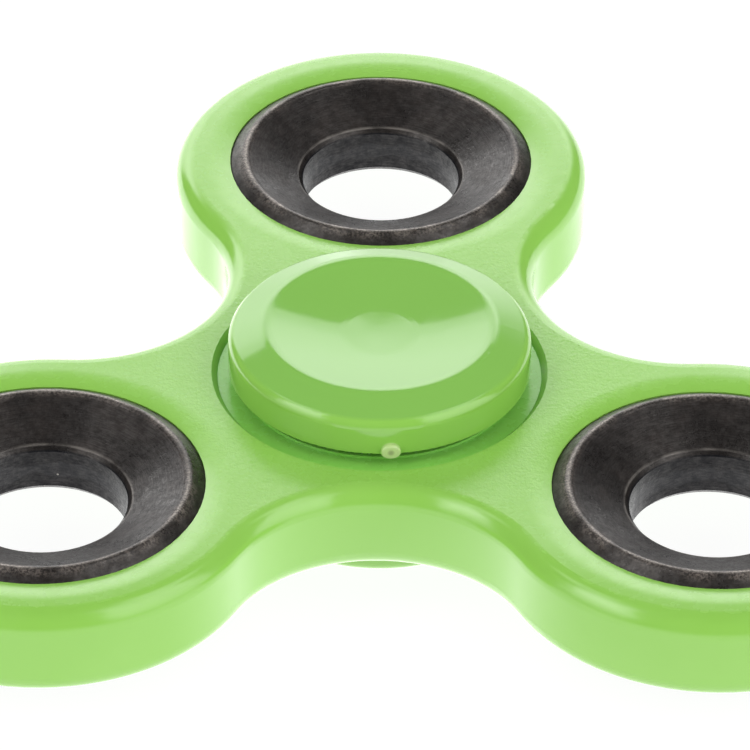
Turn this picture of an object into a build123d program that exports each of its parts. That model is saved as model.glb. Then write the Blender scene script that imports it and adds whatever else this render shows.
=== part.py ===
"""Three-armed fidget spinner: moulded body, three steel ring weights, a ball bearing and two finger caps.

The origin is the centre of the bearing. +Z is the spin axis and one arm points along +Y.
All sizes are in millimetres.
"""

import os
from math import asin, atan2, cos, hypot, radians, sin, tan

from build123d import *

os.makedirs("parts", exist_ok=True)

# ---------------------------------------------------------------- driving sizes

# ball bearing, standard size 698 with removable shields
bearing_od = 19.0
bearing_bore = 8.0
bearing_width = 6.0
ball_count = 7
ball_diameter = 3.5
ball_clearance = 0.02  # ball to the bottom of each raceway
groove_clearance = 0.07  # raceway radius over ball radius
race_land_gap = 1.25  # pitch circle to the shoulder of either race
race_chamfer = 0.3

# shield and the snap ring that holds it in the outer race
shield_recess_wall = 0.9  # wall of the outer race beside the shield
shield_depth = 0.75  # race face down to the ledge under the shield
shield_thickness = 0.25
shield_rim = 0.6  # flat rim that lies on the ledge
shield_step = 0.25  # rise of the middle over the rim
shield_slope = 0.3  # width of that rise
shield_gap = 0.15  # shield to the inner race
shield_fit = 0.02  # shield rim to the recess wall
snap_ring_height = 0.28
snap_ring_width = 0.5
snap_ring_bite = 0.15  # how far the ring reaches into its groove
snap_ring_split = 24.0  # opening of the ring, degrees
snap_ring_play = 0.02

# ball cage: two pressed halves, riveted between the balls
cage_band_width = 1.5
cage_thickness = 0.35
cage_pocket_play = 0.1
rivet_diameter = 0.6
rivet_head_diameter = 0.95
rivet_head_height = 0.15
rivet_play = 0.01

# ring weight
weight_od = 22.0
weight_bore = 11.4
weight_thickness = 7.2
weight_chamfer_width = 0.8
weight_chamfer_height = 0.53
weight_crown_width = 0.65  # rounded crest between the chamfer and the countersink
weight_crown_rise = 0.12
countersink_depth = 1.65  # foot of the crest down to the lip
lip_width = 0.3
lip_depth = 0.38

# moulded body
body_thickness = 6.5
body_edge_radius = 1.4
lobe_wall = 4.0  # plastic outside each weight
arm_web = 5.7  # plastic between a weight and the bearing
hub_wall = 4.65  # thinnest plastic round the bearing, between the arms
rim_width = 1.5  # soft dip of the face towards each weight
rim_depth = 0.18
rim_curve = 20.0
hub_recess_floor = 1.75  # width of the sunk ring round the bearing
hub_recess_slope = 0.43
hub_recess_depth = 0.45
seat_bead = 0.25  # width of the raised edge that stands round the bearing, level with its face
seat_clearance = 0.0  # pressed seats: metal in plastic, line to line

# finger cap
cap_diameter = 21.0
cap_height = 3.55  # bottom of the skirt to the crest
cap_lift = 0.45  # skirt over the face of the body
cap_crest_radius = 7.9
cap_crest_flat = 0.1  # flat land at the top of the crest; the spinner rests on the lower one
cap_crest_soft = 0.2  # reach of the rounding on either side of the land
cap_shoulder_drop = 1.0  # crest down to the corner of the side wall
cap_corner_radius = 0.8
cap_skirt_rounding = 0.15
cap_skirt_wall = 1.4
cap_roof = 1.9  # crest down to the roof of the hollow
dish_depth = 0.9
dish_eye_radius = 3.3  # flatter middle of the dish
dish_eye_curve = 52.0
dish_eye_soft = 1.0  # reach of the blend on either side of the edge of that middle
boss_wall = 1.2  # collar outside the stem, seated on the inner race
stem_wall = 1.4
stem_tip_gap = 0.2  # between the tips of the two stems
stem_tip_chamfer = 0.3
stem_floor = 1.3  # plastic left over the hollow of the stem
gate_width = 1.4
gate_height = 1.1
gate_drop = 0.2  # how far the gate hangs below the skirt
gate_proud = 0.25
gate_rounding = 0.12
gate_embed = 0.3
gate_offset = 4.4  # degrees from the middle of the arm gap

# ---------------------------------------------------------------- derived sizes

arm_names = ["back", "left", "right"]
arm_count = len(arm_names)
arm_start = 90.0
arm_pitch = 360.0 / arm_count

ball_radius = ball_diameter / 2
bearing_half = bearing_width / 2
pitch_radius = (bearing_od + bearing_bore) / 4
groove_radius = ball_radius + groove_clearance
inner_land = pitch_radius - race_land_gap
outer_land = pitch_radius + race_land_gap
ball_reach = ball_radius + ball_clearance  # pitch circle to the bottom of a raceway

shield_ledge = bearing_half - shield_depth
recess_radius = bearing_od / 2 - shield_recess_wall
snap_groove_radius = recess_radius + snap_ring_bite
shield_top_rim = shield_ledge + shield_thickness

cage_inner = pitch_radius - cage_band_width / 2
cage_outer = pitch_radius + cage_band_width / 2
pocket_radius = ball_radius + cage_pocket_play

weight_radius = weight_od / 2
weight_half = weight_thickness / 2
lobe_radius = weight_radius + lobe_wall
arm_length = bearing_od / 2 + arm_web + weight_radius
waist_radius = bearing_od / 2 + hub_wall
body_half = body_thickness / 2

stem_radius = bearing_bore / 2
skirt_bottom = body_half + cap_lift
crest_height = skirt_bottom + cap_height
cap_radius = cap_diameter / 2


def polar(radius, angle):
    """Point at a radius and an angle in degrees round the spin axis."""
    return (radius * cos(radians(angle)), radius * sin(radians(angle)))


def ring_edges(part, radius, height):
    """Circular edges of a turned part at one radius and height."""
    close = 1e-4
    circles = part.edges().filter_by(GeomType.CIRCLE)
    at_radius = circles.filter_by(lambda edge: abs(edge.radius - radius) < close)
    return at_radius.filter_by(lambda edge: abs(edge.arc_center.Z - height) < close)


def save(builder, name):
    """Label a finished piece and write its STEP file."""
    builder.part.label = name
    export_step(builder.part, f"parts/{name}.step")


# ---------------------------------------------------------------- body

# Each lobe is an arc round its weight. One hollow arc, tangent to both neighbours, joins two lobes.
arm_reach = arm_length * cos(radians(arm_pitch / 2))  # measured along the middle of the arm gap
hollow_radius = (
    arm_length**2 + waist_radius**2 - 2 * waist_radius * arm_reach - lobe_radius**2
) / (2 * (lobe_radius + arm_reach - waist_radius))
hollow_distance = waist_radius + hollow_radius


def tangent_point(arm_angle, side):
    """Where a lobe meets the hollow on its side (+1 or -1)."""
    lobe = polar(arm_length, arm_angle)
    hollow = polar(hollow_distance, arm_angle + side * arm_pitch / 2)
    reach = hypot(hollow[0] - lobe[0], hollow[1] - lobe[1])
    share = lobe_radius / reach
    return (lobe[0] + (hollow[0] - lobe[0]) * share, lobe[1] + (hollow[1] - lobe[1]) * share)


with BuildPart() as weight_pocket:
    with BuildSketch(Plane.XZ):
        with BuildLine():
            pocket_radius_wall = weight_radius + seat_clearance
            wall = Line((pocket_radius_wall, 0), (pocket_radius_wall, body_half - rim_depth))
            rim_end = (weight_radius + rim_width, body_half)
            rim = RadiusArc(wall @ 1, rim_end, rim_curve)
            Polyline(rim @ 1, (rim_end[0], weight_half), (0, weight_half), (0, 0), wall @ 0)
        make_face()
    revolve(axis=Axis.Z)
    mirror(about=Plane.XY)

with BuildPart() as bearing_seat:
    with BuildSketch(Plane.XZ):
        seat_radius = bearing_od / 2 + seat_clearance
        recess_floor_radius = bearing_od / 2 + hub_recess_floor
        with BuildLine():
            Polyline(
                (0, 0),
                (seat_radius, 0),
                (seat_radius, bearing_half),
                (seat_radius + seat_bead, bearing_half),
                (seat_radius + seat_bead, body_half - hub_recess_depth),
                (recess_floor_radius, body_half - hub_recess_depth),
                (recess_floor_radius + hub_recess_slope, body_half),
                (recess_floor_radius + hub_recess_slope, skirt_bottom),
                (0, skirt_bottom),
                close=True,
            )
        make_face()
    revolve(axis=Axis.Z)
    mirror(about=Plane.XY)

with BuildPart() as body:
    with BuildSketch(Plane.XY.offset(-body_half)):
        with BuildLine():
            for arm in range(arm_count):
                arm_angle = arm_start + arm * arm_pitch
                lobe_start = tangent_point(arm_angle, -1)
                lobe_end = tangent_point(arm_angle, 1)
                ThreePointArc(lobe_start, polar(arm_length + lobe_radius, arm_angle), lobe_end)
                waist = polar(waist_radius, arm_angle + arm_pitch / 2)
                ThreePointArc(lobe_end, waist, tangent_point(arm_angle + arm_pitch, -1))
        make_face()
    extrude(amount=body_thickness)
    fillet(body.edges().filter_by(GeomType.CIRCLE), radius=body_edge_radius)
    add(bearing_seat.part, mode=Mode.SUBTRACT)
    with PolarLocations(arm_length, arm_count, start_angle=arm_start):
        add(weight_pocket.part, mode=Mode.SUBTRACT)
save(body, "body")

# ---------------------------------------------------------------- ring weights

crown_outer = weight_radius - weight_chamfer_width
crown_inner = crown_outer - weight_crown_width
crown_foot = weight_half - weight_crown_rise
bore_radius = weight_bore / 2
bore_half = crown_foot - countersink_depth - lip_depth

with BuildPart() as ring_weight:
    with BuildSketch(Plane.XZ):
        with BuildLine():
            crown_top = ((crown_outer + crown_inner) / 2, weight_half)
            crown = ThreePointArc((crown_inner, crown_foot), crown_top, (crown_outer, crown_foot))
            Polyline(
                crown @ 1,
                (weight_radius, crown_foot - weight_chamfer_height),
                (weight_radius, 0),
                (bore_radius, 0),
                (bore_radius, bore_half),
                (bore_radius + lip_width, bore_half + lip_depth),
                crown @ 0,
            )
        make_face()
    revolve(axis=Axis.Z)
    mirror(about=Plane.XY)

for arm, arm_name in enumerate(arm_names):
    with BuildPart() as weight:
        with Locations((*polar(arm_length, arm_start + arm * arm_pitch), 0)):
            add(ring_weight.part)
    save(weight, f"weight_{arm_name}")

# ---------------------------------------------------------------- bearing races

with BuildPart() as outer_race:
    with BuildSketch(Plane.XZ):
        with BuildLine():
            Polyline(
                (outer_land, 0),
                (outer_land, shield_ledge),
                (recess_radius, shield_ledge),
                (recess_radius, shield_top_rim),
                (snap_groove_radius, shield_top_rim),
                (snap_groove_radius, shield_top_rim + snap_ring_height),
                (recess_radius, shield_top_rim + snap_ring_height),
                (recess_radius, bearing_half),
                (bearing_od / 2 - race_chamfer, bearing_half),
                (bearing_od / 2, bearing_half - race_chamfer),
                (bearing_od / 2, 0),
                close=True,
            )
        make_face()
    revolve(axis=Axis.Z)
    mirror(about=Plane.XY)
    with BuildSketch(Plane.XZ):
        with Locations((pitch_radius + ball_reach - groove_radius, 0)):
            Circle(groove_radius)
    revolve(axis=Axis.Z, mode=Mode.SUBTRACT)
save(outer_race, "bearing_outer_race")

with BuildPart() as inner_race:
    with BuildSketch(Plane.XZ):
        with Locations(((stem_radius + inner_land) / 2, 0)):
            Rectangle(inner_land - stem_radius, bearing_width)
        chamfer(vertices().group_by(Axis.X)[0], race_chamfer)
        with Locations((pitch_radius - ball_reach + groove_radius, 0)):
            Circle(groove_radius, mode=Mode.SUBTRACT)
    revolve(axis=Axis.Z)
save(inner_race, "bearing_inner_race")

# ---------------------------------------------------------------- balls and cage

ball_pitch = 360.0 / ball_count

for ball_number in range(ball_count):
    with BuildPart() as ball:
        with Locations((*polar(pitch_radius, arm_start + ball_number * ball_pitch), 0)):
            Sphere(ball_radius)
    save(ball, f"ball_{ball_number + 1}")

for side, half_name in ((1, "upper"), (-1, "lower")):
    with BuildPart() as cage_half:
        with BuildSketch():
            Circle(cage_outer)
            Circle(cage_inner, mode=Mode.SUBTRACT)
        extrude(amount=side * cage_thickness)
        with PolarLocations(pitch_radius, ball_count, start_angle=arm_start):
            Sphere(pocket_radius + cage_thickness)
        with BuildSketch():
            Circle(cage_outer)
            Circle(cage_inner, mode=Mode.SUBTRACT)
        extrude(amount=side * bearing_half, mode=Mode.INTERSECT)
        with PolarLocations(pitch_radius, ball_count, start_angle=arm_start):
            Sphere(pocket_radius, mode=Mode.SUBTRACT)
        with PolarLocations(pitch_radius, ball_count, start_angle=arm_start + ball_pitch / 2):
            Cylinder(rivet_diameter / 2 + rivet_play, bearing_width, mode=Mode.SUBTRACT)
    save(cage_half, f"cage_{half_name}")

with BuildPart() as rivets:
    with PolarLocations(pitch_radius, ball_count, start_angle=arm_start + ball_pitch / 2):
        Cylinder(rivet_diameter / 2, 2 * (cage_thickness + rivet_head_height))
    for side in (1, -1):
        head_middle = side * (cage_thickness + rivet_head_height / 2)
        with BuildSketch(Plane.XY.offset(head_middle)):
            with PolarLocations(pitch_radius, ball_count, start_angle=arm_start + ball_pitch / 2):
                Circle(rivet_head_diameter / 2)
        extrude(amount=rivet_head_height / 2, both=True)
save(rivets, "cage_rivets")

# ---------------------------------------------------------------- shields and snap rings

for side, side_name in ((1, "top"), (-1, "bottom")):
    shield_outer = recess_radius - shield_fit
    slope_outer = shield_outer - shield_rim
    with BuildPart() as shield:
        with BuildSketch(Plane.XZ):
            with BuildLine():
                Polyline(
                    (shield_outer, side * shield_ledge),
                    (slope_outer, side * shield_ledge),
                    (slope_outer - shield_slope, side * (shield_ledge + shield_step)),
                    (inner_land + shield_gap, side * (shield_ledge + shield_step)),
                    (inner_land + shield_gap, side * (shield_top_rim + shield_step)),
                    (slope_outer - shield_slope, side * (shield_top_rim + shield_step)),
                    (slope_outer, side * shield_top_rim),
                    (shield_outer, side * shield_top_rim),
                    close=True,
                )
            make_face()
        revolve(axis=Axis.Z)
    save(shield, f"shield_{side_name}")

    ring_outer = snap_groove_radius - snap_ring_play
    ring_middle = side * (shield_top_rim + snap_ring_height / 2)
    with BuildPart() as snap_ring:
        with BuildSketch(Plane.XY.offset(ring_middle)):
            Circle(ring_outer)
            Circle(ring_outer - snap_ring_width, mode=Mode.SUBTRACT)
            with BuildLine():
                Polyline(
                    (0, 0),
                    polar(bearing_od, arm_start - snap_ring_split / 2),
                    polar(bearing_od, arm_start + snap_ring_split / 2),
                    close=True,
                )
            make_face(mode=Mode.SUBTRACT)
        extrude(amount=snap_ring_height / 2 - snap_ring_play, both=True)
    save(snap_ring, f"snap_ring_{side_name}")

# ---------------------------------------------------------------- finger caps

crest_outer = cap_crest_radius + cap_crest_flat / 2 + cap_crest_soft
crest_inner = cap_crest_radius - cap_crest_flat / 2 - cap_crest_soft
dish_radius = (crest_inner**2 + dish_depth**2) / (2 * dish_depth)
dish_turn = asin(crest_inner / dish_radius)  # tilt of the dish where it meets the crest
shoulder_turn = atan2(cap_shoulder_drop, cap_radius - crest_outer)
dish_centre = crest_height - dish_depth + dish_radius
eye_edge = dish_centre - (dish_radius**2 - dish_eye_radius**2) ** 0.5
eye_turn = asin(dish_eye_radius / dish_radius) - asin(dish_eye_radius / dish_eye_curve)
eye_blend_turn = eye_turn + dish_eye_soft / dish_radius + dish_eye_soft / dish_eye_curve
eye_bottom = eye_edge - dish_eye_curve + (dish_eye_curve**2 - dish_eye_radius**2) ** 0.5
corner_height = crest_height - cap_shoulder_drop
roof_height = crest_height - cap_roof
boss_radius = stem_radius + boss_wall

# Stub of the moulding gate, low on the side wall.
gate_angle = arm_start + 180 + gate_offset
gate_plane = Plane(
    origin=(*polar(cap_radius - gate_embed, gate_angle), skirt_bottom - gate_drop + gate_height / 2),
    x_dir=(*polar(1, gate_angle + 90), 0),
    z_dir=(*polar(1, gate_angle), 0),
)
with BuildPart() as gate:
    with BuildSketch(gate_plane):
        Ellipse(gate_width / 2, gate_height / 2)
    extrude(amount=gate_embed + gate_proud)
    gate_face = gate.faces().sort_by(Axis(gate_plane.origin, gate_plane.z_dir))[-1]
    fillet(gate_face.edges(), radius=gate_rounding)

with BuildPart() as finger_cap:
    with BuildSketch(Plane.XZ):
        with BuildLine():
            eye = RadiusArc((0, eye_bottom), (dish_eye_radius, eye_edge), -dish_eye_curve)
            dish = RadiusArc(eye @ 1, (crest_inner, crest_height), -dish_radius)
            Polyline(
                dish @ 1,
                (crest_outer, crest_height),
                (cap_radius, corner_height),
                (cap_radius, skirt_bottom),
                (cap_radius - cap_skirt_wall, skirt_bottom),
                (cap_radius - cap_skirt_wall, roof_height),
                (boss_radius, roof_height),
                (boss_radius, bearing_half),
                (stem_radius, bearing_half),
                (stem_radius, stem_tip_gap / 2 + stem_tip_chamfer),
                (stem_radius - stem_tip_chamfer, stem_tip_gap / 2),
                (stem_radius - stem_wall, stem_tip_gap / 2),
                (stem_radius - stem_wall, eye_bottom - stem_floor),
                (0, eye_bottom - stem_floor),
                eye @ 0,
            )
        make_face()
        eye_corner = vertices().sort_by_distance((dish_eye_radius, eye_edge))[0]
        fillet(eye_corner, radius=2 * dish_eye_soft / eye_blend_turn)
    revolve(axis=Axis.Z)
    fillet(ring_edges(finger_cap, cap_radius, corner_height), radius=cap_corner_radius)
    fillet(ring_edges(finger_cap, cap_radius, skirt_bottom), radius=cap_skirt_rounding)
    fillet(ring_edges(finger_cap, crest_outer, crest_height), radius=cap_crest_soft / tan(shoulder_turn / 2))
    fillet(ring_edges(finger_cap, crest_inner, crest_height), radius=cap_crest_soft / tan(dish_turn / 2))
    add(gate.part)

# Both caps are the same moulding; the bottom one is turned over about the Y axis.
for side_name, flip in (("top", 0), ("bottom", 180)):
    with BuildPart() as cap:
        add(finger_cap.part, rotation=(0, flip, 0))
    save(cap, f"{side_name}_cap")
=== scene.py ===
"""Looks and studio for the three-armed fidget spinner.

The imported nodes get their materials, and a floor, light panels and the camera are set round them.
"""

from math import cos, radians, sin

import bpy
from mathutils import Matrix, Vector


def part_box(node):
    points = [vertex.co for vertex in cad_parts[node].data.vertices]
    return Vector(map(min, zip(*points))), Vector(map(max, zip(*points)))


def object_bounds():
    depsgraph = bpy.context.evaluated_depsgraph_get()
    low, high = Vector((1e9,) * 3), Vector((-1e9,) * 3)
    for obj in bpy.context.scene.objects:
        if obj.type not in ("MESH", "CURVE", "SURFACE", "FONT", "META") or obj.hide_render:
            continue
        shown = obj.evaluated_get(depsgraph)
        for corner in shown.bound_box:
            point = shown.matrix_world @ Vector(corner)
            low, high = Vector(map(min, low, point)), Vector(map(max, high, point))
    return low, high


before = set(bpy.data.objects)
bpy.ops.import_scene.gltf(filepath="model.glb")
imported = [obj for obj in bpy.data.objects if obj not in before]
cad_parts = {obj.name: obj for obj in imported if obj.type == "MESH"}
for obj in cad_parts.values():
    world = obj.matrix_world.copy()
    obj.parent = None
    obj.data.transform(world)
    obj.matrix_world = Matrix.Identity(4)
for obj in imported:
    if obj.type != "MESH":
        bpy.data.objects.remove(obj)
cad_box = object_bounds()

# ---------------------------------------------------------------- sizes, in metres

MM = 0.001

# The caps and the back weight are centred on x = 0, so their farthest x is their radius.
cap_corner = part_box("top_cap")[1]
cap_radius = cap_corner.x
cap_top = cap_corner.z
weight_low, weight_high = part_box("weight_back")
weight_radius = weight_high.x
arm_length = (weight_high.y + weight_low.y) / 2
arm_angles = {"weight_back": 90.0, "weight_left": 210.0, "weight_right": 330.0}
spin_axis = (0.0, 0.0, 0.0)
far_away = 1.0


def polar(radius, angle, height=0.0):
    """Point at a radius and an angle in degrees round the spin axis."""
    return Vector((radius * cos(radians(angle)), radius * sin(radians(angle)), height))


# ---------------------------------------------------------------- node helpers


def put(tree, value, socket):
    """Give a socket a constant, or link another socket to it."""
    if isinstance(value, bpy.types.NodeSocket):
        tree.links.new(value, socket)
    else:
        socket.default_value = value


def add(tree, kind, settings=None, **inputs):
    """A shader node with its settings and inputs. Inputs known by number are given as _0, _1 and so on."""
    made = tree.nodes.new("ShaderNode" + kind)
    for key, value in (settings or {}).items():
        setattr(made, key, value)
    for key, value in inputs.items():
        name = int(key[1:]) if key.startswith("_") else key.replace("_", " ")
        put(tree, value, made.inputs[name])
    return made


def calc(tree, operation, first, second=0.0):
    """Result of one Math node."""
    return add(tree, "Math", {"operation": operation}, _0=first, _1=second).outputs[0]


def vector_calc(tree, operation, first, second=(0.0, 0.0, 0.0)):
    """Vector that one Vector Math node gives."""
    return add(tree, "VectorMath", {"operation": operation}, _0=first, _1=second).outputs[0]


def axes_of(tree, vector):
    """The x, y and z of a vector."""
    return add(tree, "SeparateXYZ", _0=vector).outputs


def ramp(tree, value, low, high, start=0.0, end=1.0, smooth=True):
    """Value carried from the range low..high to start..end, held at both ends."""
    settings = {"interpolation_type": "SMOOTHSTEP" if smooth else "LINEAR"}
    made = add(tree, "MapRange", settings, Value=value)
    for name, number in (("From Min", low), ("From Max", high), ("To Min", start), ("To Max", end)):
        put(tree, number, made.inputs[name])
    return made.outputs[0]


def blend(tree, share, first, second):
    """Mix of two numbers; share 1 is the second."""
    return add(tree, "Mix", {"data_type": "FLOAT"}, _0=share, _2=first, _3=second).outputs[0]


def blend_vectors(tree, share, first, second):
    """Mix of two vectors; share 1 is the second."""
    return add(tree, "Mix", {"data_type": "VECTOR"}, _0=share, _4=first, _5=second).outputs[1]


def blend_colours(tree, share, first, second):
    """Mix of two colours; share 1 is the second."""
    return add(tree, "Mix", {"data_type": "RGBA"}, _0=share, _6=first, _7=second).outputs[2]


def noise(tree, place, size, detail=2.0, roughness=0.5):
    """Noise, 0 to 1, whose cells are about size across."""
    made = add(tree, "TexNoise", Vector=place, Scale=1 / size, Detail=detail, Roughness=roughness)
    return made.outputs[0]


def spots(tree, place, spacing, core, edge, share, channel):
    """1 on small round spots, about a spacing apart, of which only a share is kept.

    A spot is whole up to the radius core and has faded out at the radius edge. One channel of the random
    colours of the cells picks the spots that are kept.
    """
    cells = add(tree, "TexVoronoi", {"feature": "F1"}, Vector=place, Scale=1 / spacing)
    spot = ramp(tree, cells.outputs["Distance"], core / spacing, edge / spacing, 1.0, 0.0)
    drawn = add(tree, "SeparateColor", _0=cells.outputs["Color"]).outputs[channel]
    return calc(tree, "MULTIPLY", spot, calc(tree, "LESS_THAN", drawn, share))


def place_of(tree):
    """Position on the object, in metres, in the frame's own axes."""
    return add(tree, "TexCoord").outputs["Object"]


def flat_offset(tree, place, centre):
    """Level offset of a position from an upright line through centre."""
    return vector_calc(tree, "MULTIPLY", vector_calc(tree, "SUBTRACT", place, centre), (1.0, 1.0, 0.0))


def length_of(tree, offset):
    """Length of a vector."""
    return add(tree, "VectorMath", {"operation": "LENGTH"}, _0=offset).outputs["Value"]


def radius_about(tree, place, centre):
    """Distance of a position from an upright line through centre."""
    return length_of(tree, flat_offset(tree, place, centre))


def height_of(tree, place):
    """Distance of a position from the middle plane of the spinner."""
    return calc(tree, "ABSOLUTE", axes_of(tree, place)[2])


def flatness(tree, low, high, normal=None):
    """1 on level faces, 0 on tilted ones: the upright part of the normal carried from low..high to 0..1."""
    if normal is None:
        normal = add(tree, "NewGeometry").outputs["Normal"]
    return ramp(tree, calc(tree, "ABSOLUTE", axes_of(tree, normal)[2]), low, high)


def line_at(tree, value, middle, reach):
    """1 where a value is at the middle, falling to 0 at the reach on either side."""
    off = calc(tree, "ABSOLUTE", calc(tree, "SUBTRACT", value, middle))
    return ramp(tree, off, 0.0, reach, 1.0, 0.0)


def bump(tree, height, depth, below=None):
    """Normal with a height map of a real depth; below is the normal it adds to."""
    made = add(tree, "Bump", Height=height, Distance=depth, Strength=1.0)
    if below is not None:
        put(tree, below, made.inputs["Normal"])
    return made.outputs[0]


def new_material(name):
    """Empty node material with a Principled shader."""
    material = bpy.data.materials.new(name)
    material.use_nodes = True
    tree = material.node_tree
    shader = tree.nodes["Principled BSDF"]
    return material, tree, shader


def finish_node(node, material):
    """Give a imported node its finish."""
    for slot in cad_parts[node].material_slots:
        slot.material = material


# ---------------------------------------------------------------- green plastic

green = (0.246, 0.512, 0.083, 1.0)
green_deep = (0.236, 0.502, 0.075, 1.0)
speck_dark = (0.06, 0.085, 0.035, 1.0)

drift_size = 9 * MM
drift_range = (0.35, 0.65)
speck_spacing = 4.5 * MM
speck_core = 0.036 * MM
speck_edge = 0.06 * MM
speck_share = 0.10


def green_colour(tree, place):
    """Moulded green with a faint drift of shade and a few dark specks."""
    drift = noise(tree, place, drift_size, detail=3.0)
    base = blend_colours(tree, ramp(tree, drift, *drift_range), green, green_deep)
    specks = spots(tree, place, speck_spacing, speck_core, speck_edge, speck_share, channel=0)
    return blend_colours(tree, specks, base, speck_dark)


def scuffs(tree, place, size, low, high, rise):
    """Roughness that faint scuffs add, up to rise, where their noise goes over the range low..high."""
    return ramp(tree, noise(tree, place, size, detail=4.0), low, high, 0.0, rise)


# ---------------------------------------------------------------- form of the body's level face

# Slopes are heights per distance. The fall is only on the far side of each lobe, from outer_start on.
dip_end = weight_radius + 1.9 * MM
dip_slope = 0.27
fall_start = weight_radius + 1.2 * MM
fall_end = weight_radius + 2.4 * MM
fall_reach = weight_radius + 6 * MM
fall_slope = 0.045
outer_start = arm_length - 5 * MM
outer_end = arm_length + 2 * MM

# Upright share of the normal from which a facet counts as level: anywhere, and in the ring round a weight.
level_facet = 0.99999
dipped_facet = 0.98
dipped_radius = weight_radius + 1.52 * MM


def lean_about(tree, place, centre, outer):
    """Slope of the level face round one weight, and the distance from the middle of that weight.

    The face dips softly towards the weight. Where outer is 1, it also falls away a little beyond the dip.
    """
    flat = flat_offset(tree, place, centre)
    radius = length_of(tree, flat)
    dip = ramp(tree, radius, weight_radius, dip_end, dip_slope, 0.0, smooth=False)
    fall = calc(tree, "MULTIPLY", ramp(tree, radius, fall_start, fall_end, 0.0, fall_slope), outer)
    near = calc(tree, "LESS_THAN", radius, fall_reach)
    slope = calc(tree, "SUBTRACT", dip, calc(tree, "MULTIPLY", fall, near))
    outward = vector_calc(tree, "NORMALIZE", flat)
    lean = add(tree, "VectorMath", {"operation": "SCALE"}, _0=outward, Scale=slope).outputs[0]
    return lean, radius


def levelled_normal(tree, nearest):
    """Normal of the mesh, made upright on level facets. nearest is the distance from the nearest weight."""
    geometry = add(tree, "NewGeometry")
    facet = axes_of(tree, geometry.outputs["True Normal"])[2]
    side = ramp(tree, calc(tree, "GREATER_THAN", facet, 0.0), 0.0, 1.0, -1.0, 1.0, smooth=False)
    upright = add(tree, "CombineXYZ", _2=side).outputs[0]
    levelness = calc(tree, "ABSOLUTE", facet)
    in_dip = calc(tree, "LESS_THAN", nearest, dipped_radius)
    dipped = calc(tree, "MULTIPLY", in_dip, calc(tree, "GREATER_THAN", levelness, dipped_facet))
    chosen = calc(tree, "MAXIMUM", dipped, calc(tree, "GREATER_THAN", levelness, level_facet))
    return blend_vectors(tree, chosen, geometry.outputs["Normal"], upright)


def body_normal(tree, place, from_axis):
    """Normal of the body, with the level face leaning round the three weights."""
    outer = ramp(tree, from_axis, outer_start, outer_end)
    nearest = far_away
    total = (0.0, 0.0, 0.0)
    for angle in arm_angles.values():
        lean, radius = lean_about(tree, place, polar(arm_length, angle), outer)
        total = vector_calc(tree, "ADD", total, lean)
        nearest = calc(tree, "MINIMUM", radius, nearest)
    settings = {"vector_type": "VECTOR", "convert_from": "OBJECT", "convert_to": "WORLD"}
    posed = add(tree, "VectorTransform", settings, Vector=total).outputs[0]
    leaning = vector_calc(tree, "SUBTRACT", levelled_normal(tree, nearest), posed)
    return vector_calc(tree, "NORMALIZE", leaning)


# ---------------------------------------------------------------- body

# Painted shade: a deeper, more saturated green on the sunk ring round the hub, where the cap shades it.
recess_painted_shade = (0.225, 0.570, 0.088, 1.0)
# Painted light: a paler green on the steep wall round the sunk ring.
step_painted_light = (0.31, 0.64, 0.12, 1.0)

recess_edge = cap_radius + 0.75 * MM
recess_fade = 0.3 * MM
step_radius = recess_edge + 0.35 * MM
step_reach = 0.35 * MM
grain_size = 0.27 * MM
grain_depth = 0.022 * MM
grain_inner = 14 * MM
grain_outer = 25 * MM
body_wave_size = 2.4 * MM
body_wave_depth = 0.012 * MM
rough_walls = 0.13
rough_level = 0.24
body_scuffs = {"size": 1.1 * MM, "low": 0.3, "high": 0.7, "rise": 0.06}
body_ior = 1.56

# Upright part of the normal where a face begins to count, and where it fully counts, as level or as a wall.
body_level = (0.94, 0.995)
body_walls = (0.95, 0.80)


def body_colour(tree, place, from_axis, sunk):
    """Green, with painted shade in the sunk ring round the hub, a deeper and more saturated green, and
    painted light on the wall round that ring, which is paler.
    """
    base = blend_colours(tree, sunk, green_colour(tree, place), recess_painted_shade)
    # Painted light on the steep wall round the sunk ring.
    near_wall = line_at(tree, from_axis, step_radius, step_reach)
    step = calc(tree, "MULTIPLY", near_wall, flatness(tree, *body_walls))
    return blend_colours(tree, step, base, step_painted_light)


def body_relief(tree, place, from_axis, sunk, level, face):
    """Normal with the slow waves of the moulding and a pebbled grain on the level face round the hub."""
    pebbled = calc(tree, "MULTIPLY", level, ramp(tree, from_axis, grain_inner, grain_outer, 1.0, 0.0))
    pebbled = calc(tree, "MULTIPLY", pebbled, calc(tree, "SUBTRACT", 1.0, sunk))
    fine = noise(tree, place, grain_size, detail=3.0, roughness=0.6)
    waved = bump(tree, noise(tree, place, body_wave_size), body_wave_depth, face)
    return bump(tree, calc(tree, "MULTIPLY", fine, pebbled), grain_depth, waved)


def body_material():
    """Body: satin level faces, pebbled round the hub, and glossy roundings and walls."""
    material, tree, shader = new_material("green_abs_body")
    place = place_of(tree)
    from_axis = radius_about(tree, place, spin_axis)
    face = body_normal(tree, place, from_axis)
    level = flatness(tree, *body_level, face)
    # sunk is 1 on the sunk ring round the hub: it lays the painted shade there and keeps the grain off it.
    sunk = ramp(tree, from_axis, recess_edge, recess_edge + recess_fade, 1.0, 0.0)
    put(tree, body_colour(tree, place, from_axis, sunk), shader.inputs["Base Color"])
    put(tree, body_relief(tree, place, from_axis, sunk, level, face), shader.inputs["Normal"])
    gloss = ramp(tree, level, 0.0, 1.0, rough_walls, rough_level, smooth=False)
    put(tree, calc(tree, "ADD", gloss, scuffs(tree, place, **body_scuffs)), shader.inputs["Roughness"])
    shader.inputs["IOR"].default_value = body_ior
    return material


# ---------------------------------------------------------------- finger caps

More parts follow.
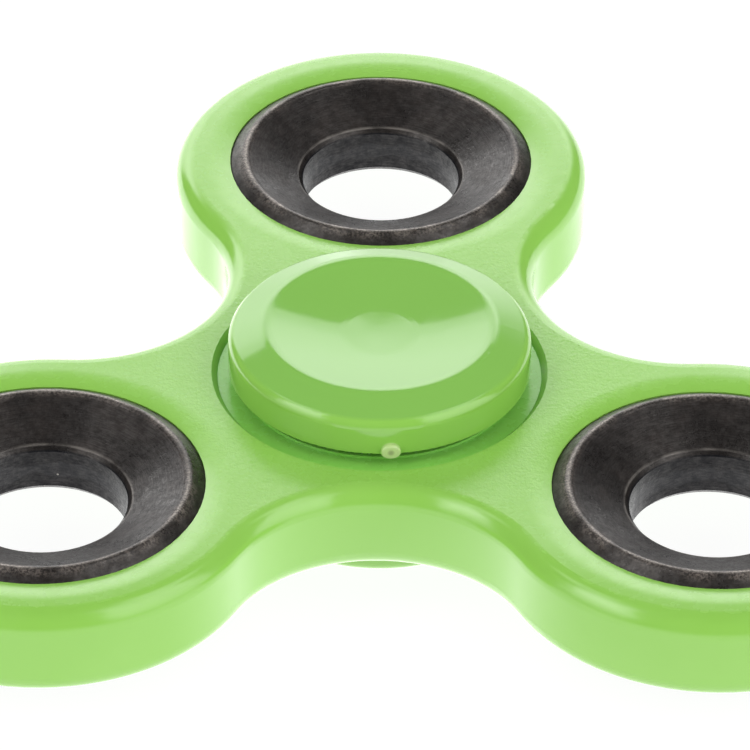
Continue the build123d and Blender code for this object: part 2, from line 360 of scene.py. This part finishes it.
# Painted shade: the level faces of the caps, the dish and the crest, are a darker green than the walls.
cap_level_painted_shade = (0.204, 0.446, 0.081, 1.0)
gate_pale = (0.46, 0.61, 0.25, 1.0)
gate_core = (0.24, 0.30, 0.13, 1.0)

gate_angle = 274.4
gate_distance = cap_radius + 0.1 * MM
gate_height = cap_top - 3.2 * MM
stub_fade = (0.55 * MM, 0.78 * MM)
core_fade = (0.16 * MM, 0.34 * MM)
core_share = 0.8
painted_shade_level = (0.75, 0.93)

# Relief of the cap. Its heights are numbers of millimetres, and so are the radii of the eye in the dish.
eye_radius = 2.8
eye_blend = 1.5
eye_sink = 0.00045
eye_lift = 0.0144
shoulder_start = cap_radius - 2.2 * MM
shoulder_end = cap_radius - 0.4 * MM
shoulder_rise = 0.12

cap_wave_size = 3.0 * MM
cap_wave_depth = 0.008 * MM
cap_rough = 0.07
cap_scuffs = {"size": 0.9 * MM, "low": 0.35, "high": 0.75, "rise": 0.05}
cap_ior = 1.52


def cap_relief(tree, radius):
    """Fine relief of the moulding, in millimetres: a crisper edge round the eye and a fuller shoulder.

    Towards the edge of the eye it sinks as the cube of the radius, and beyond it comes back up as a square.
    """
    inner = calc(tree, "MINIMUM", calc(tree, "DIVIDE", radius, MM), eye_radius)
    eye = calc(tree, "MULTIPLY", calc(tree, "POWER", inner, 3.0), -eye_sink)
    left = ramp(tree, radius, eye_radius * MM, (eye_radius + eye_blend) * MM, 1.0, 0.0, smooth=False)
    around = calc(tree, "MULTIPLY", calc(tree, "POWER", left, 2.0), -eye_lift)
    shoulder = ramp(tree, radius, shoulder_start, shoulder_end, 0.0, shoulder_rise, smooth=False)
    return calc(tree, "ADD", calc(tree, "ADD", eye, around), shoulder)


def cap_colour(tree, place, gate_place):
    """Green, with painted shade that makes the level faces darker, and a pale stub where the moulding gate
    was cut.
    """
    offset = add(tree, "VectorMath", {"operation": "DISTANCE"}, _0=place, _1=gate_place)
    away = offset.outputs["Value"]
    stub = ramp(tree, away, *stub_fade, 1.0, 0.0)
    stub_colour = blend_colours(tree, ramp(tree, away, *core_fade, core_share, 0.0), gate_pale, gate_core)
    level_share = flatness(tree, *painted_shade_level)
    level_shaded = blend_colours(tree, level_share, green_colour(tree, place), cap_level_painted_shade)
    return blend_colours(tree, stub, level_shaded, stub_colour)


def cap_material(name, gate_place):
    """Finger cap: glossy, with faint waves and scuffs."""
    material, tree, shader = new_material(name)
    place = place_of(tree)
    put(tree, cap_colour(tree, place, gate_place), shader.inputs["Base Color"])
    form = bump(tree, cap_relief(tree, radius_about(tree, place, spin_axis)), MM)
    put(tree, bump(tree, noise(tree, place, cap_wave_size), cap_wave_depth, form), shader.inputs["Normal"])
    put(tree, calc(tree, "ADD", scuffs(tree, place, **cap_scuffs), cap_rough), shader.inputs["Roughness"])
    shader.inputs["IOR"].default_value = cap_ior
    return material


# ---------------------------------------------------------------- black steel weights

oxide = (0.0085, 0.0072, 0.0068, 1.0)
oxide_warm = (0.018, 0.014, 0.0125, 1.0)
oxide_sheen = (1.0, 0.94, 0.90, 1.0)
crest_worn = (0.30, 0.275, 0.25, 1.0)
band_worn = (0.13, 0.108, 0.094, 1.0)
lip_worn = (0.115, 0.105, 0.095, 1.0)
bore_dark = (0.005, 0.0058, 0.008, 1.0)
bore_grey = (0.020, 0.021, 0.024, 1.0)
dust_pale = (0.36, 0.34, 0.31, 1.0)

weight_shift = 0.1
weight_ior = 1.5
weight_depth = 0.016 * MM

# Noises of the finish: the size of each, the range of it that counts, and the roughness or sheen it gives.
tone_size = 2.6 * MM
tone_warm = (0.4, 0.75)
tone_range = (0.3, 0.7)
tone_rough = (0.28, 0.40)
pit_size = 0.24 * MM
pit_range = (0.35, 0.65)
pit_rough = (-0.05, 0.09)
mottle_size = 0.8 * MM
mottle_range = (0.36, 0.64)
mottle_sheen = (0.25, 0.50)
streak_length = 1.3 * MM
streak_width = 0.13 * MM
streak_range = (0.35, 0.65)
streak_sheen = (0.75, 1.3)
streak_share = 0.5

# Wear. Radii are from the middle of the weight, and heights from the middle plane of the spinner.
patch_size = 2.6 * MM
patch_range = (0.38, 0.60)
patch_least = 0.25
speckle_size = 0.17 * MM
speckle_range = (0.42, 0.60)
band_radius = weight_radius - 1.0 * MM
band_reach = 0.75 * MM
crest_radius = weight_radius - 1.125 * MM
crest_reach = 0.2 * MM
crest_least = 0.45
crest_metal = 0.8
rim_width = 0.3 * MM
rim_sheen = 1.3
lip_height = 1.83 * MM
lip_reach = 0.09 * MM
lip_fade = (6.6 * MM, 6.8 * MM)

bore_radius = 5.7 * MM
bore_fade = (bore_radius + 0.02 * MM, bore_radius + 0.12 * MM)
bore_line = 1.2 * MM
bore_line_fade = 0.25 * MM
bore_ragged = 1.6 * MM
bore_sheen = 0.62
dust_spacing = 1.9 * MM
dust_core = 0.0475 * MM
dust_edge = 0.1045 * MM
dust_share = 0.16


def turned(tree, place, centre, radius):
    """Noise drawn out along the turning marks, 0 to 1."""
    toward = axes_of(tree, vector_calc(tree, "NORMALIZE", flat_offset(tree, place, centre)))
    across = calc(tree, "MULTIPLY", toward[0], streak_length)
    along = calc(tree, "MULTIPLY", toward[1], streak_length)
    outward = calc(tree, "ADD", radius, axes_of(tree, place)[2])
    drawn = add(tree, "CombineXYZ", _0=across, _1=along, _2=outward).outputs[0]
    return noise(tree, drawn, streak_width, detail=3.0, roughness=0.6)


def worn_edges(tree, place, radius, height):
    """How far the finish is rubbed off: on a speckled band, on the line of the crest and on the lip."""
    speckle = noise(tree, place, speckle_size, detail=4.0, roughness=0.7)
    speckle = ramp(tree, speckle, *speckle_range)
    patches = ramp(tree, noise(tree, place, patch_size), *patch_range, patch_least, 1.0)
    band = calc(tree, "MULTIPLY", line_at(tree, radius, band_radius, band_reach), speckle)
    band = calc(tree, "MULTIPLY", band, patches)
    crest = calc(tree, "MULTIPLY", line_at(tree, radius, crest_radius, crest_reach), patches)
    crest = calc(tree, "MULTIPLY", crest, ramp(tree, speckle, 0.0, 1.0, crest_least, 1.0))
    lip = calc(tree, "MULTIPLY", line_at(tree, height, lip_height, lip_reach), patches)
    lip = calc(tree, "MULTIPLY", lip, ramp(tree, radius, *lip_fade, 1.0, 0.0))
    return band, crest, lip


def bore_colour(tree, place, height):
    """Grey near the middle plane and dark above a ragged line."""
    ragged = calc(tree, "MULTIPLY", noise(tree, place, bore_ragged, detail=3.0), bore_ragged)
    above_line = ramp(tree, calc(tree, "ADD", height, ragged), bore_line, bore_line + bore_line_fade)
    return blend_colours(tree, above_line, bore_grey, bore_dark)


def weight_colour(tree, place, height, tone, in_bore, edges):
    """Mottled black oxide, with a two-toned bore, rubbed edges and a few flecks of dust."""
    base = blend_colours(tree, ramp(tree, tone, *tone_warm), oxide, oxide_warm)
    base = blend_colours(tree, in_bore, base, bore_colour(tree, place, height))
    for rubbed, colour in zip(edges, (band_worn, crest_worn, lip_worn)):
        base = blend_colours(tree, rubbed, base, colour)
    dust = spots(tree, place, dust_spacing, dust_core, dust_edge, dust_share, channel=1)
    return blend_colours(tree, dust, base, dust_pale)


def weight_sheen(tree, place, radius, streaks, in_bore):
    """Strength of reflections: mottled, streaked by turning, weaker in the bore, stronger at the rim."""
    mottle = noise(tree, place, mottle_size, detail=6.0, roughness=0.75)
    sheen = ramp(tree, mottle, *mottle_range, *mottle_sheen)
    sheen = calc(tree, "MULTIPLY", sheen, ramp(tree, streaks, *streak_range, *streak_sheen))
    sheen = calc(tree, "MULTIPLY", sheen, ramp(tree, in_bore, 0.0, 1.0, 1.0, bore_sheen))
    rim = ramp(tree, radius, crest_radius, crest_radius + rim_width, 1.0, rim_sheen)
    return calc(tree, "MULTIPLY", sheen, rim)


def weight_material(name, centre, shift):
    """Black oxide steel, turned on a lathe. The shift makes the noises of this weight its own."""
    material, tree, shader = new_material(name)
    place = place_of(tree)
    radius = radius_about(tree, place, centre)
    height = height_of(tree, place)
    in_bore = ramp(tree, radius, *bore_fade, 1.0, 0.0)
    streaks = turned(tree, place, centre, radius)
    shifted = vector_calc(tree, "ADD", place, (shift, 0.0, 0.0))
    tone = noise(tree, shifted, tone_size, detail=5.0, roughness=0.65)
    pits = noise(tree, shifted, pit_size, detail=5.0, roughness=0.7)
    edges = worn_edges(tree, shifted, radius, height)

    put(tree, weight_colour(tree, shifted, height, tone, in_bore, edges), shader.inputs["Base Color"])
    relief = calc(tree, "ADD", calc(tree, "MULTIPLY", streaks, streak_share), pits)
    put(tree, bump(tree, relief, weight_depth), shader.inputs["Normal"])
    rough = ramp(tree, tone, *tone_range, *tone_rough)
    rough = calc(tree, "ADD", rough, ramp(tree, pits, *pit_range, *pit_rough))
    put(tree, rough, shader.inputs["Roughness"])
    sheen = weight_sheen(tree, shifted, radius, streaks, in_bore)
    put(tree, sheen, shader.inputs["Specular IOR Level"])
    put(tree, calc(tree, "MULTIPLY", edges[1], crest_metal), shader.inputs["Metallic"])
    shader.inputs["IOR"].default_value = weight_ior
    shader.inputs["Specular Tint"].default_value = oxide_sheen
    return material


# ---------------------------------------------------------------- bearing steel

race_nodes = ("bearing_outer_race", "bearing_inner_race")
ball_nodes = sorted(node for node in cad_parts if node.startswith("ball_"))

# Each steel has its colour, its roughness, the size of its grain and the nodes that are made of it.
steels = {
    "bearing_steel": ((0.62, 0.62, 0.63, 1.0), 0.18, 0.4 * MM, race_nodes),
    "ball_steel": ((0.74, 0.74, 0.75, 1.0), 0.05, 0.6 * MM, ball_nodes),
    "cage_steel": ((0.52, 0.50, 0.47, 1.0), 0.34, 0.3 * MM, ("cage_upper", "cage_lower", "cage_rivets")),
    "shield_steel": ((0.66, 0.66, 0.67, 1.0), 0.24, 0.3 * MM, ("shield_top", "shield_bottom")),
    "spring_steel": ((0.42, 0.42, 0.44, 1.0), 0.30, 0.3 * MM, ("snap_ring_top", "snap_ring_bottom")),
}

dull_share = 0.86
steel_range = (0.2, 0.8)
steel_rough = 0.12
steel_depth = 0.002 * MM


def steel_material(name, colour, roughness, grain):
    """Ground or pressed bearing steel with a fine grain."""
    material, tree, shader = new_material(name)
    fine = noise(tree, place_of(tree), grain, detail=4.0)
    dull = tuple(channel * dull_share for channel in colour[:3]) + (1.0,)
    put(tree, blend_colours(tree, fine, colour, dull), shader.inputs["Base Color"])
    rough = ramp(tree, fine, *steel_range, roughness, roughness + steel_rough)
    put(tree, rough, shader.inputs["Roughness"])
    put(tree, bump(tree, fine, steel_depth), shader.inputs["Normal"])
    shader.inputs["Metallic"].default_value = 1.0
    return material


# ---------------------------------------------------------------- light panels

white = (1.0, 1.0, 1.0, 1.0)
room_strength = 0.12
fill_strength = 0.20
fill_front = 0.38

# Each panel has the azimuths of its two sides, from the back towards +X, how soft each side is, how far it
# leans per degree of height above lean_start, and its brightness at some elevations. Angles are in degrees.
lean_start = 30.0
panels = {
    "backdrop": {
        "sides": (-40.0, 22.0), "soft": (4.0, 9.0), "lean": 0.0,
        "profile": (
            (-20, 1.9), (0, 2.0), (12, 2.4), (24, 3.5), (33.2, 3.6), (35.3, 2.8), (37.8, 2.75), (38.6, 0.0),
        ),
    },
    "left": {
        "sides": (-139.0, -100.0), "soft": (6.0, 8.0), "lean": 0.5,
        "profile": (
            (-5, 0.7), (10, 1.2), (20, 2.3), (30, 3.3), (44, 4.6), (55, 4.2), (64, 2.2), (72, 0.0),
        ),
    },
    "left_wing": {
        "sides": (-84.0, -50.0), "soft": (14.0, 10.0), "lean": 0.0,
        "profile": ((50, 0.0), (55, 1.8), (66, 1.9), (73, 0.0)),
    },
    "right": {
        "sides": (91.0, 147.0), "soft": (4.0, 6.0), "lean": -0.25,
        "profile": ((-5, 1.4), (10, 1.9), (22, 2.5), (45, 2.9), (56, 2.5), (67, 1.8), (75, 0.0)),
    },
    "right_wing": {
        "sides": (56.0, 88.0), "soft": (8.0, 10.0), "lean": 0.0,
        "profile": ((50, 0.0), (55, 1.9), (68, 2.0), (78, 0.0)),
    },
}
brightest = 5.0


def profile(tree, value, stops):
    """Value carried through straight lines between (value, result) stops, held at both ends."""
    low, high = stops[0][0], stops[-1][0]
    made = add(tree, "ValToRGB", Fac=ramp(tree, value, low, high, smooth=False))
    elements = made.color_ramp.elements
    while len(elements) < len(stops):
        elements.new(0.5)
    for element, (stop, result) in zip(elements, stops):
        element.position = (stop - low) / (high - low)
        element.color = (result / brightest,) * 3 + (1.0,)
    return calc(tree, "MULTIPLY", made.outputs[0], brightest)


def panel_light(tree, panel, azimuth, elevation, raised):
    """Light of one panel in a direction. raised is how far the elevation is above lean_start."""
    upright = calc(tree, "SUBTRACT", azimuth, calc(tree, "MULTIPLY", raised, panel["lean"]))
    (first, last), (soft_first, soft_last) = panel["sides"], panel["soft"]
    after = ramp(tree, upright, first - soft_first, first + soft_first)
    before = ramp(tree, upright, last - soft_last, last + soft_last, 1.0, 0.0)
    across = calc(tree, "MULTIPLY", after, before)
    return calc(tree, "MULTIPLY", across, profile(tree, elevation, panel["profile"]))


def room_light(tree, axes, diffuse_ray):
    """Light of the room itself: dim, and for matt faces a fill that is stronger in front."""
    ahead = calc(tree, "MAXIMUM", calc(tree, "MULTIPLY", axes[1], -fill_front), 0.0)
    return blend(tree, diffuse_ray, room_strength, calc(tree, "ADD", ahead, fill_strength))


def add_world():
    """White to the camera. To all other rays, light panels round a dark room."""
    world = bpy.data.worlds.new("studio")
    bpy.context.scene.world = world
    world.use_nodes = True
    tree = world.node_tree
    tree.nodes.clear()
    rays = add(tree, "LightPath")
    axes = axes_of(tree, add(tree, "TexCoord").outputs["Generated"])
    azimuth = calc(tree, "DEGREES", calc(tree, "ARCTAN2", axes[0], axes[1]))
    elevation = calc(tree, "DEGREES", calc(tree, "ARCSINE", axes[2]))
    raised = calc(tree, "MAXIMUM", calc(tree, "SUBTRACT", elevation, lean_start), 0.0)
    level = room_light(tree, axes, rays.outputs["Is Diffuse Ray"])
    for panel in panels.values():
        level = calc(tree, "ADD", panel_light(tree, panel, azimuth, elevation, raised), level)
    shown = blend(tree, rays.outputs["Is Camera Ray"], level, 1.0)
    shade = add(tree, "Background", Color=white, Strength=shown)
    out = add(tree, "OutputWorld")
    tree.links.new(shade.outputs[0], out.inputs[0])


# ---------------------------------------------------------------- floor

floor_half = 1.5
floor_far = 0.5
floor_near = 1.55
floor_front_y = (-0.13, -0.04)
floor_scatter = 0.75
floor_shown = 0.93
floor_shade = (0.12, 0.12, 0.12, 1.0)

# Glare that only glossy faces get, and where it rises or fades, in metres.
glare_left = 0.9
glare_left_x = (-0.02, 0.0)
glare_behind_y = (0.0, 0.02)
glare_cap = 0.8
glare_cap_radius = (0.015, 0.03)


def floor_light(tree):
    """Light that the table gives back: less far in front, with glare behind on the left and by the cap."""
    place = place_of(tree)
    axes = axes_of(tree, place)
    rays = add(tree, "LightPath")
    spread = ramp(tree, rays.outputs["Is Diffuse Ray"], 0.0, 1.0, 1.0, floor_scatter, smooth=False)
    lit = calc(tree, "MULTIPLY", ramp(tree, axes[1], *floor_front_y, floor_far, floor_near), spread)
    leftward = ramp(tree, axes[0], *glare_left_x, glare_left, 0.0)
    behind = calc(tree, "MULTIPLY", leftward, ramp(tree, axes[1], *glare_behind_y))
    by_cap = ramp(tree, radius_about(tree, place, spin_axis), *glare_cap_radius, glare_cap, 0.0)
    glare = calc(tree, "MULTIPLY", calc(tree, "ADD", behind, by_cap), rays.outputs["Is Glossy Ray"])
    return calc(tree, "ADD", lit, glare)


def floor_material():
    """White lit table. The camera sees it near white, with the soft shadow that the object leaves on it."""
    material = bpy.data.materials.new("floor")
    material.use_nodes = True
    tree = material.node_tree
    tree.nodes.clear()
    seen = add(tree, "LightPath").outputs["Is Camera Ray"]
    glow = add(tree, "Emission", Color=white, Strength=blend(tree, seen, floor_light(tree), floor_shown))
    soft = add(tree, "BsdfDiffuse", Color=floor_shade)
    shown = add(tree, "AddShader", _0=soft.outputs[0], _1=glow.outputs[0])
    out = add(tree, "OutputMaterial")
    tree.links.new(shown.outputs[0], out.inputs[0])
    return material


def add_floor():
    """Level floor under the lower finger cap."""
    mesh = bpy.data.meshes.new("floor")
    low = cad_box[0].z
    corners = [(x * floor_half, y * floor_half, low) for x, y in ((-1, -1), (1, -1), (1, 1), (-1, 1))]
    mesh.from_pydata(corners, [], [(0, 1, 2, 3)])
    floor = bpy.data.objects.new("floor", mesh)
    bpy.context.scene.collection.objects.link(floor)
    mesh.materials.append(floor_material())


# ---------------------------------------------------------------- camera

camera_elevation = radians(36.2554)
camera_distance = 404.23 * MM
camera_roll = radians(0.41623)
camera_target = Vector((-0.305, -0.684, 3.25)) * MM
clip_near = 0.01
clip_far = 10.0

# In millimetres, as Blender takes them.
camera_lens = 279.79
sensor_width = 36.0


def add_camera():
    """Camera at the viewing angle, with its slight roll."""
    back = Vector((0, -cos(camera_elevation), sin(camera_elevation)))
    right = Vector((1, 0, 0))
    up = back.cross(right)
    rolled_right = right * cos(camera_roll) + up * sin(camera_roll)
    rolled_up = up * cos(camera_roll) - right * sin(camera_roll)
    data = bpy.data.cameras.new("camera")
    data.lens = camera_lens
    data.sensor_width = sensor_width
    data.clip_start = clip_near
    data.clip_end = clip_far
    camera = bpy.data.objects.new("camera", data)
    turn = Matrix((rolled_right, rolled_up, back)).transposed().to_4x4()
    camera.matrix_world = Matrix.Translation(camera_target + back * camera_distance) @ turn
    bpy.context.scene.collection.objects.link(camera)
    bpy.context.scene.camera = camera


# ---------------------------------------------------------------- dressing

finish_node("body", body_material())
top_gate = polar(gate_distance, gate_angle, gate_height)
bottom_gate = Vector((-top_gate.x, top_gate.y, -top_gate.z))
finish_node("top_cap", cap_material("green_abs_top", top_gate))
finish_node("bottom_cap", cap_material("green_abs_bottom", bottom_gate))

for count, (weight, angle) in enumerate(arm_angles.items()):
    centre = polar(arm_length, angle)
    finish_node(weight, weight_material("black_steel_" + weight, centre, weight_shift * count))

for steel_name, (colour, roughness, grain, steel_nodes) in steels.items():
    steel = steel_material(steel_name, colour, roughness, grain)
    for steel_node in steel_nodes:
        finish_node(steel_node, steel)

add_world()
add_floor()
add_camera()
bpy.context.scene.view_settings.view_transform = "Standard"
